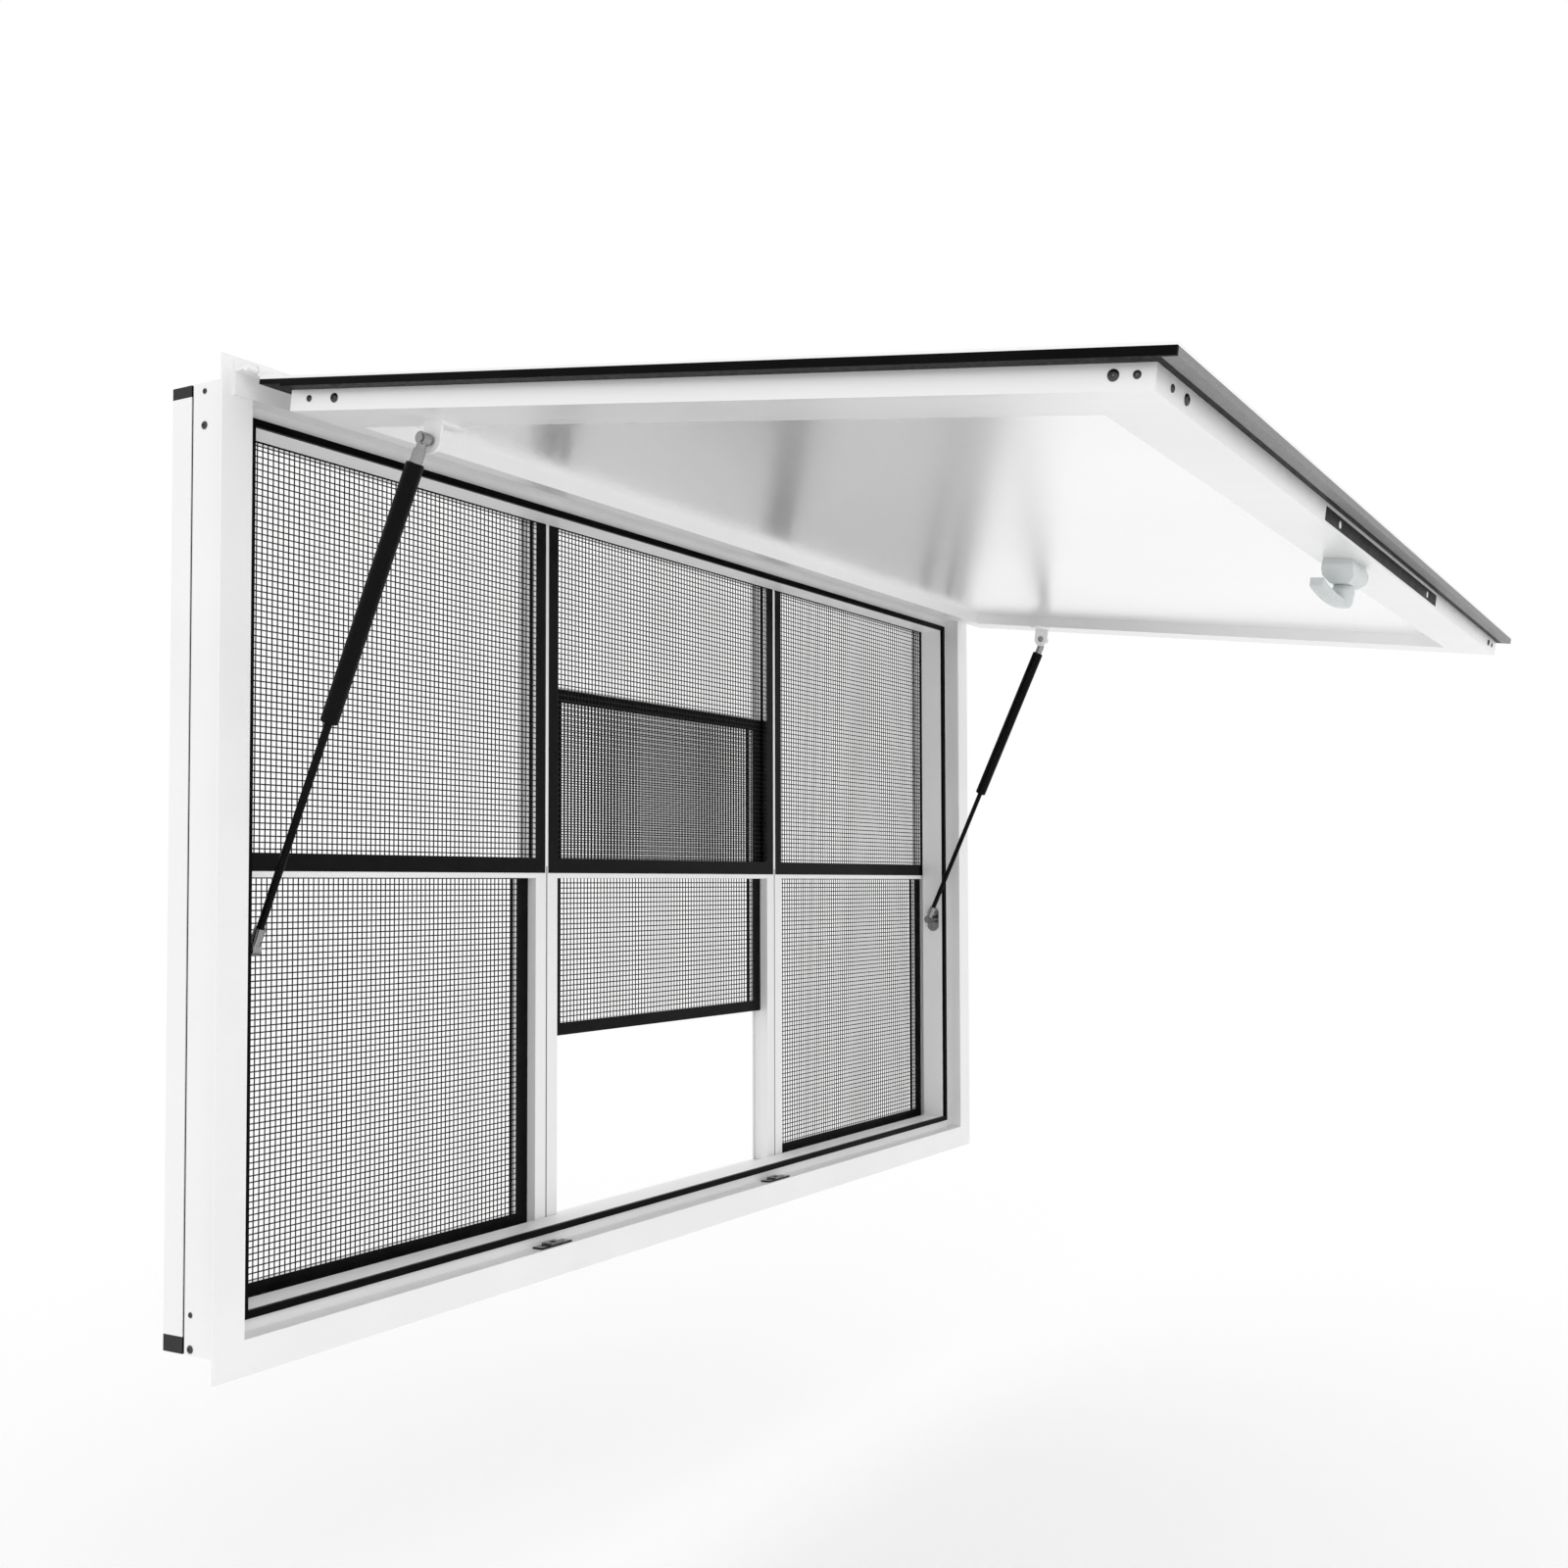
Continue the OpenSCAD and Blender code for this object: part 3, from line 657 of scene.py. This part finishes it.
def wire_tree() -> NodeTree:
    """Tree of a square wire screen that stands in the XZ plane, from the origin.

    Returns:
        The tree, with inputs Width, Height, Pitch, Wire and Material.
    """
    g = NodeTree("wire_screen")
    for name in ("Width", "Height", "Pitch", "Wire"):
        g.add_input(name, "NodeSocketFloat")
    g.add_input("Material", "NodeSocketMaterial")
    given = g.tree.nodes.new("NodeGroupInput").outputs
    join = g.tree.nodes.new("GeometryNodeJoinGeometry")
    radius = g.maths("MULTIPLY", given["Wire"], 0.5)
    for length, across, upright in (("Height", "Width", True), ("Width", "Height", False)):
        count = g.maths("FLOOR", g.maths("DIVIDE", given[across], given["Pitch"]), 0.0)
        used = g.maths("MULTIPLY", g.maths("SUBTRACT", count, 1.0), given["Pitch"])
        start = g.maths("MULTIPLY", g.maths("SUBTRACT", given[across], used), 0.5)
        half = g.maths("MULTIPLY", given[length], 0.5)
        depth = g.maths("MULTIPLY", given["Wire"], 0.42 if upright else -0.42)
        line = g.tree.nodes.new("GeometryNodeMeshLine")
        g.feed(line, "Count", count)
        g.feed(line, "Start Location", g.vector(start, depth, half) if upright else g.vector(half, depth, start))
        g.feed(line, "Offset", g.vector(given["Pitch"]) if upright else g.vector(0.0, 0.0, given["Pitch"]))
        rod = g.tree.nodes.new("GeometryNodeMeshCylinder")
        rod.fill_type = "NONE"
        g.feed(rod, "Vertices", 6)
        g.feed(rod, "Radius", radius)
        g.feed(rod, "Depth", given[length])
        place = g.node("GeometryNodeInstanceOnPoints", Points=line.outputs[0], Instance=rod.outputs["Mesh"])
        if not upright:
            g.feed(place, "Rotation", (0.0, math.pi / 2, 0.0))
        g.tree.links.new(place.outputs[0], join.inputs[0])
    g.finish(join.outputs[0], given["Material"])
    return g


# Fasteners
@dataclass(frozen=True)
class Screw:
    """A cross-head screw: where its head sits, which way it faces, and its size."""

    at: Vector
    facing: Vector
    radius: float
    countersunk: bool = False
    sides: int = 24

    def ring(self, bm: bmesh.types.BMesh, radii: Sequence[float], height: float) -> list[bmesh.types.BMVert]:
        """Add a ring of points round the screw's axis.

        Args:
            bm: Mesh to add to.
            radii: Radius of each point.
            height: Height over the seat.

        Returns:
            The points.
        """
        turn = Vector((0, 0, 1)).rotation_difference(self.facing).to_matrix().to_4x4()
        place = Matrix.Translation(self.at) @ turn
        angles = (2 * math.pi * k / self.sides for k in range(self.sides))
        return [bm.verts.new(place @ Vector((r * math.cos(a), r * math.sin(a), height))) for a, r in zip(angles, radii)]

    def star(self, arm: float, core: float) -> list[float]:
        """Radii of a cross-shaped outline.

        Args:
            arm: Radius at the arms.
            core: Radius between them.

        Returns:
            One radius per side.
        """
        quarter = self.sides // 4
        return [self.radius * (arm if min(k % quarter, -k % quarter) <= 1 else core) for k in range(self.sides)]

    def add_to(self, bm: bmesh.types.BMesh) -> None:
        """Add the head with its recess to a mesh.

        Args:
            bm: Mesh to add to.
        """
        r = self.radius
        dome = 0.18 if self.countersunk else 0.42
        profile = ((1.0, -0.25), (1.0, 0.05), (0.94, 0.5 * dome), (0.72, 0.85 * dome), (0.50, dome))
        rings = [self.ring(bm, [r * rad] * self.sides, r * height) for rad, height in profile]
        rings.append(self.ring(bm, self.star(0.46, 0.18), r * dome))
        rings.append(self.ring(bm, self.star(0.40, 0.14), r * (dome - 0.45)))
        for lower, upper in zip(rings, rings[1:]):
            for k in range(self.sides):
                n = (k + 1) % self.sides
                bm.faces.new((lower[k], lower[n], upper[n], upper[k]))
        bm.faces.new(rings[-1])


def add_screws(name: str, screws: Sequence[Screw], body: Body, material: bpy.types.Material) -> bpy.types.Object:
    """Build a group of screws as one piece.

    Args:
        name: Piece name.
        screws: The screws.
        body: Body they ride on.
        material: Their material.

    Returns:
        The object.
    """
    bm = bmesh.new()
    for screw in screws:
        screw.add_to(bm)
    bmesh.ops.recalc_face_normals(bm, faces=bm.faces)
    mesh = bpy.data.meshes.new(name)
    bm.to_mesh(mesh)
    bm.free()
    obj = link_object(name, mesh)
    mesh.materials.append(material)
    shade_by_angle(obj, 50)
    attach(obj, body.value)
    LOG.info("added %s: %d screws", name, len(screws))
    return obj


# Sub-assemblies
@dataclass
class WallFrame:
    """The aluminium frame with its gaskets, hinge base, lower brackets and keepers."""

    lap: float = 18 * MM
    small_head: float = 3.0 * MM
    large_head: float = 4.2 * MM
    side_screws: tuple[tuple[float, float, bool], ...] = (
        (46.5, 980.0, True), (46.5, 945.0, False), (54.5, 49.0, True), (54.5, 15.0, False))
    keeper_step: float = 29.2 * MM
    keeper_top: float = 31.6 * MM

    def dress(self, nodes: dict[str, bpy.types.Object], paints: Paints) -> None:
        """Give its nodes their finishes.

        Args:
            nodes: CAD nodes by name.
            paints: Materials.
        """
        white = paints.get("white_coat", WHITE_COAT)
        for node in ("frame_left", "frame_right", "frame_head", "frame_sill", "hinge_base"):
            dress(node, nodes[node], white)
        for node in ("stop_gasket", "clamp_gasket"):
            dress(node, nodes[node], paints.get("black_rubber", Rubber()), 0.8)
        for node in ("left_foot_plate", "right_foot_plate"):
            dress(node, nodes[node], paints.get("bright_steel", Steel()))
        caged = Banded(Axis.Z, self.keeper_step, self.keeper_top, metal=(0.14, 0.14, 0.14))
        dress("keepers", nodes["keepers"], paints.get("keeper_steel", caged))

    def build(self, paints: Paints) -> None:
        """Add the screws in the box's sides, where its corners are joined.

        Args:
            paints: Materials.
        """
        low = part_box("frame_left")[0]
        screws = []
        for face, way in ((low[0] + self.lap, -1.0), (-low[0] - self.lap, 1.0)):
            for depth, height, small in self.side_screws:
                at = Vector((face, depth * MM, height * MM))
                screws.append(Screw(at, Vector((way, 0, 0)), self.small_head if small else self.large_head))
        add_screws("frame_screws", screws, Body.FRAME, paints.get("screw_steel", SCREW_STEEL))


@dataclass
class WindowUnits:
    """The three window units with their sashes and wire screens."""

    pitch: float = 6.9 * MM
    wire: float = 1.5 * MM
    strip_height: float = 4.0 * MM
    strip_depth: float = 6.0 * MM
    skin: float = 0.5 * MM
    bare: float = 6.2 * MM
    sides: tuple[str, ...] = ("left", "middle", "right")
    tiers: tuple[str, ...] = ("upper", "lower")

    def dress(self, nodes: dict[str, bpy.types.Object], paints: Paints) -> None:
        """Give its nodes their finishes.

        Args:
            nodes: CAD nodes by name.
            paints: Materials.
        """
        white = paints.get("white_coat", WHITE_COAT)
        low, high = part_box("middle_unit_jambs")
        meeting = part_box("left_lower_sash")[1][2]
        finish = replace(WHITE_COAT, joints=(low[0], high[0]), joint_top=meeting)
        jointed = paints.get("jointed_coat", finish)
        for side in self.sides:
            dress(f"{side}_unit_jambs", nodes[f"{side}_unit_jambs"], jointed)
            dress(f"{side}_unit_rails", nodes[f"{side}_unit_rails"], white)
            for tier in self.tiers:
                node = f"{side}_{tier}_sash"
                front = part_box(node)[0][1]
                finish = Banded(Axis.Y, front + self.skin, front + self.skin + self.bare)
                dress(node, nodes[node], paints.get(f"{tier}_sash_coat", finish), 0.25)
        dress("corner_caps", nodes["corner_caps"], paints.get("black_plastic", BLACK_PLASTIC))
        for tier in self.tiers:
            dress(f"{tier}_screens", nodes[f"{tier}_screens"], paints.get("screen_wire", WIRE_COAT), 0.0)

    def opening(self, obj: bpy.types.Object, low: Sequence[float]) -> tuple[float, float]:
        """Width of a sash's stile and height of its rail, read from its mesh.

        Args:
            obj: The sash's CAD object.
            low: Its lowest corner.

        Returns:
            Stile width and rail height.
        """
        least = 8 * MM
        xs = {round(v.co.x - low[0], 5) for v in obj.data.vertices if v.co.x - low[0] > least}
        zs = {round(v.co.z - low[2], 5) for v in obj.data.vertices if v.co.z - low[2] > least}
        return min(xs), min(zs)

    def build(self, nodes: dict[str, bpy.types.Object], paints: Paints) -> None:
        """Build each sash's wires in its opening, in place of the CAD's grid.

        Args:
            nodes: CAD nodes by name.
            paints: Materials.
        """
        tree = wire_tree()
        for tier in self.tiers:
            node = f"{tier}_screens"
            middle = (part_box(node)[0][1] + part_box(node)[1][1]) / 2
            made = [self.screen(tree, side, tier, middle, nodes, paints) for side in self.sides]
            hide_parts(node)
        self.strips(paints)

    def strips(self, paints: Paints) -> bpy.types.Object:
        """Build the white strip on top of each lower sash, with which it meets the bar.

        Args:
            paints: Materials.

        Returns:
            The strips, as one piece.
        """
        bm = bmesh.new()
        for side in self.sides:
            low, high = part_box(f"{side}_lower_sash")
            size = (high[0] - low[0], self.strip_depth, self.strip_height)
            at = ((low[0] + high[0]) / 2, low[1] + self.strip_depth / 2, high[2] + self.strip_height / 2)
            bmesh.ops.create_cube(bm, size=1.0, matrix=Matrix.Translation(at) @ Matrix.Diagonal((*size, 1.0)))
        bmesh.ops.recalc_face_normals(bm, faces=bm.faces)
        mesh = bpy.data.meshes.new("sash_strips")
        bm.to_mesh(mesh)
        bm.free()
        strips = link_object("sash_strips", mesh)
        mesh.materials.append(paints.get("edge_coat", STRIP_WHITE_AND_EDGE_HIGHLIGHT))
        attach(strips, Body.FRAME.value)
        LOG.info("added %s: %d faces", strips.name, len(mesh.polygons))
        return strips

    def screen(self, tree: NodeTree, side: str, tier: str, depth: float, nodes: dict[str, bpy.types.Object],
               paints: Paints) -> bpy.types.Object:
        """Build one screen.

        Args:
            tree: The wires' node tree.
            side: Unit that it is in.
            tier: Upper or lower.
            depth: Its middle along Y.
            nodes: CAD nodes by name.
            paints: Materials.

        Returns:
            The screen.
        """
        sash = f"{side}_{tier}_sash"
        low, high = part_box(sash)
        stile, rail = self.opening(nodes[sash], low)
        screen = tree.bake(f"{side}_{tier}_wires", Width=high[0] - low[0] - 2 * stile,
                           Height=high[2] - low[2] - 2 * rail, Pitch=self.pitch, Wire=self.wire,
                           Material=paints.get("screen_wire", WIRE_COAT))
        screen.data.transform(Matrix.Translation((low[0] + stile, depth, low[2] + rail)))
        shade_by_angle(screen, 80)
        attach(screen, Body.FRAME.value)
        LOG.info("added %s: %d faces", screen.name, len(screen.data.polygons))
        return screen


@dataclass
class Awning:
    """The awning door, whose places are given as on the shut door."""

    axis: Vector
    open_angle: float = math.radians(82.7)
    lip: float = -12.0 * MM
    top: float = 987.0 * MM
    rail_half: float = 772.0 * MM
    rail_low: float = 37.0 * MM
    small_head: float = 3.4 * MM
    large_head: float = 4.8 * MM
    seal_front: float = -973.0 * MM
    seal_end: float = 3.0 * MM
    lock_head: float = 4.6 * MM
    lock_screw: float = 227.0 * MM
    side_screws: tuple[tuple[float, bool], ...] = ((56.0, True), (91.6, False), (916.0, False), (935.0, True))
    front_screws: tuple[tuple[float, bool], ...] = ((737.0, True), (705.0, False))

    def turned(self, x: float, y: float, z: float) -> Vector:
        """Direction on the shut door, turned open.

        Args:
            x: Part along X.
            y: Part along Y.
            z: Part along Z.

        Returns:
            The direction at rest.
        """
        return Matrix.Rotation(-self.open_angle, 3, "X") @ Vector((x, y, z))

    def place(self, x: float, y: float, z: float) -> Vector:
        """Point on the shut door, turned open.

        Args:
            x: Place along X.
            y: Place along Y.
            z: Place along Z.

        Returns:
            The point at rest.
        """
        return self.axis + self.turned(x - self.axis.x, y - self.axis.y, z - self.axis.z)

    def dress(self, nodes: dict[str, bpy.types.Object], paints: Paints) -> None:
        """Give its nodes their finishes.

        Args:
            nodes: CAD nodes by name.
            paints: Materials.
        """
        white = paints.get("white_coat", WHITE_COAT)
        for node in ("awning_skin", "hinge_leaf", "left_awning_bracket", "right_awning_bracket"):
            dress(node, nodes[node], white)
        # The rails' bevelled edges take the lighter white as a painted highlight.
        for side in ("left", "right", "front", "rear"):
            dress(f"awning_{side}_rail", nodes[f"awning_{side}_rail"], paints.get("rail_sheet", RAIL_SHEET),
                  0.9, paints.get("edge_coat", STRIP_WHITE_AND_EDGE_HIGHLIGHT))
        dress("awning_panel", nodes["awning_panel"], paints.get("lining_sheet", LINING))
        # The seal's front face carries a painted pale sheen, in place of the light that it reflects.
        mottled = Rubber(sheen_before=self.seal_front, sheen_half=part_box("awning_seal")[1][0] - self.seal_end)
        dress("awning_seal", nodes["awning_seal"], paints.get("seal_rubber", mottled), 0.6)
        dress("lock_plate", nodes["lock_plate"], paints.get("black_coat", BLACK_COAT))
        for node in ("handle_base", "handle_lever"):
            dress(node, nodes[node], paints.get("handle_coat", HANDLE_COAT), 0.5)

    def build(self, paints: Paints) -> None:
        """Add the screws in its rails and lock.

        Args:
            paints: Materials.
        """
        screws = []
        lock_screws = []
        for way in (-1, 1):
            for along, small in self.side_screws:
                at = self.place(way * self.rail_half, self.lip + 16.5 * MM, self.top - along * MM)
                screws.append(Screw(at, self.turned(way, 0, 0), self.small_head if small else self.large_head))
            for x, small in self.front_screws:
                at = self.place(way * x * MM, self.lip + 17.5 * MM, self.rail_low)
                screws.append(Screw(at, self.turned(0, 0, -1), self.small_head if small else self.large_head))
            at = self.place(way * self.lock_screw, self.lip + 18.5 * MM, self.rail_low - 0.4 * MM)
            lock_screws.append(Screw(at, self.turned(0, 0, -1), self.lock_head, True))
        add_screws("awning_screws", screws, Body.AWNING, paints.get("screw_steel", SCREW_STEEL))
        add_screws("lock_screws", lock_screws, Body.AWNING, paints.get("lock_steel", LOCK_STEEL))


@dataclass
class GasStruts:
    """The two gas struts, lacquered, with plated end fittings."""

    sides: tuple[str, ...] = ("left", "right")

    def dress(self, nodes: dict[str, bpy.types.Object], paints: Paints) -> None:
        """Give its nodes their finishes.

        Args:
            nodes: CAD nodes by name.
            paints: Materials.
        """
        lacquer = paints.get("black_lacquer", BLACK_LACQUER)
        steel = paints.get("bright_steel", Steel())
        for side in self.sides:
            for part, material in (("tube", lacquer), ("rod", lacquer), ("head", steel), ("foot", steel)):
                dress(f"{side}_strut_{part}", nodes[f"{side}_strut_{part}"], material)


# Studio
@dataclass(frozen=True)
class Viewpoint:
    """Camera of the photograph, from its fitted place, turn and lens."""

    at: tuple[float, float, float] = (-1.8664, -1.3639, 0.4733)
    yaw: float = math.radians(27.70)
    pitch: float = math.radians(1.92)
    roll: float = math.radians(-0.33)
    picture_px: float = 1600.0
    focal_px: float = 1627.35
    centre_px: tuple[float, float] = (965.72, 849.38)
    sensor_mm: float = 36.0

    def build(self) -> bpy.types.Object:
        """Make the camera and use it for the picture.

        Returns:
            The camera.
        """
        data = bpy.data.cameras.new("camera")
        data.sensor_fit = "HORIZONTAL"
        data.sensor_width = self.sensor_mm
        data.lens = self.focal_px / self.picture_px * self.sensor_mm
        data.shift_x = (self.picture_px / 2 - self.centre_px[0]) / self.picture_px
        data.shift_y = (self.centre_px[1] - self.picture_px / 2) / self.picture_px
        data.clip_start = 0.05
        camera = bpy.data.objects.new("camera", data)
        bpy.context.scene.collection.objects.link(camera)
        flat = math.cos(self.pitch)
        forward = Vector((flat * math.cos(self.yaw), flat * math.sin(self.yaw), math.sin(self.pitch)))
        right = Vector((math.sin(self.yaw), -math.cos(self.yaw), 0.0))
        up = right.cross(forward)
        c, s = math.cos(self.roll), math.sin(self.roll)
        axes = (c * right + s * up, -s * right + c * up, -forward)
        camera.matrix_world = Matrix.Translation(self.at) @ Matrix(axes).transposed().to_4x4()
        bpy.context.scene.camera = camera
        return camera


@dataclass(frozen=True)
class Studio:
    """White studio: an even world, a soft lamp and a pale floor under the window."""

    ambient: float = 1.0
    lamp_watts: float = 12.0
    lamp_size: float = 1.4
    lamp_at: tuple[float, float, float] = (-2.6, -2.6, 2.4)
    lamp_aim: tuple[float, float, float] = (0.0, -0.3, 0.5)
    floor_drop: float = 0.45
    floor_half: float = 14.0

    def build(self, lowest: float) -> None:
        """Make the world, the lamp and the floor.

        Args:
            lowest: Height of the object's lowest point.
        """
        self.add_world()
        self.add_lamp()
        self.add_floor(lowest - self.floor_drop)
        bpy.context.scene.view_settings.view_transform = "Standard"

    def white_to_eye(self, tree: bpy.types.NodeTree, shader: Socket, emitter: str) -> Socket:
        """Mix a shader with plain white for the camera, for gloss and for glass.

        Args:
            tree: Node tree to add to.
            shader: What lights and is lit.
            emitter: Type of the node that gives the white.

        Returns:
            The mixed shader's socket.
        """
        path = tree.nodes.new("ShaderNodeLightPath")
        seen = path.outputs["Is Camera Ray"]
        for name in ("Is Glossy Ray", "Is Transmission Ray"):
            add = tree.nodes.new("ShaderNodeMath")
            add.operation = "MAXIMUM"
            tree.links.new(seen, add.inputs[0])
            tree.links.new(path.outputs[name], add.inputs[1])
            seen = add.outputs[0]
        white = tree.nodes.new(emitter)
        white.inputs["Color"].default_value = (1.0, 1.0, 1.0, 1.0)
        white.inputs["Strength"].default_value = 1.0
        mix = tree.nodes.new("ShaderNodeMixShader")
        tree.links.new(seen, mix.inputs[0])
        tree.links.new(shader, mix.inputs[1])
        tree.links.new(white.outputs[0], mix.inputs[2])
        return mix.outputs[0]

    def add_world(self) -> None:
        """White studio all round, seen as pure white."""
        world = bpy.data.worlds.new("studio")
        bpy.context.scene.world = world
        world.use_nodes = True
        tree = world.node_tree
        tree.nodes.clear()
        out = tree.nodes.new("ShaderNodeOutputWorld")
        around = tree.nodes.new("ShaderNodeBackground")
        around.inputs["Color"].default_value = (1.0, 1.0, 1.0, 1.0)
        around.inputs["Strength"].default_value = self.ambient
        tree.links.new(self.white_to_eye(tree, around.outputs[0], "ShaderNodeBackground"), out.inputs["Surface"])

    def add_lamp(self) -> None:
        """Soft square lamp from the front left."""
        data = bpy.data.lights.new("lamp", "AREA")
        data.size = self.lamp_size
        data.energy = self.lamp_watts
        lamp = bpy.data.objects.new("lamp", data)
        bpy.context.scene.collection.objects.link(lamp)
        lamp.location = self.lamp_at
        lamp.rotation_euler = (Vector(self.lamp_aim) - Vector(self.lamp_at)).to_track_quat("-Z", "Y").to_euler()

    def add_floor(self, height: float) -> None:
        """Pale floor that takes the window's soft shadow.

        Args:
            height: Its height.
        """
        half = self.floor_half
        mesh = bpy.data.meshes.new("floor")
        corners = [(-half, -half, height), (half, -half, height), (half, half, height), (-half, half, height)]
        mesh.from_pydata(corners, [], [(0, 1, 2, 3)])
        floor = link_object("floor", mesh)
        s = Shader("floor_paper")
        s.set(Base_Color=(1.0, 1.0, 1.0, 1.0), Roughness=1.0, Specular_IOR_Level=0.0)
        mesh.materials.append(s.material)
        floor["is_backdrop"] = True


@dataclass
class Product:
    """The whole window, built in order."""

    frame: dict
    paints: Paints = field(default_factory=Paints)

    def hinge_axis(self) -> Vector:
        """Point on the awning's hinge axis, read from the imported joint.

        Returns:
            The point.
        """
        return Vector(next(j["pos_m"] for j in self.frame["joints"] if j["name"] == "awning_hinge"))

    def build(self) -> None:
        """Dress and build each sub-assembly."""
        nodes = self.frame["nodes"]
        wall = WallFrame()
        units = WindowUnits()
        awning = Awning(self.hinge_axis())
        for part in (wall, units, awning, GasStruts()):
            part.dress(nodes, self.paints)
        units.build(nodes, self.paints)
        wall.build(self.paints)
        awning.build(self.paints)


def main() -> None:
    """Build the picture."""
    logging.basicConfig(level=logging.INFO, format="%(message)s")
    bpy.ops.wm.read_factory_settings(use_empty=True)
    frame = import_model()
    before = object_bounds()
    Viewpoint().build()
    Product(frame).build()
    Studio().build(before[0][2])


if __name__ == "__main__":
    main()
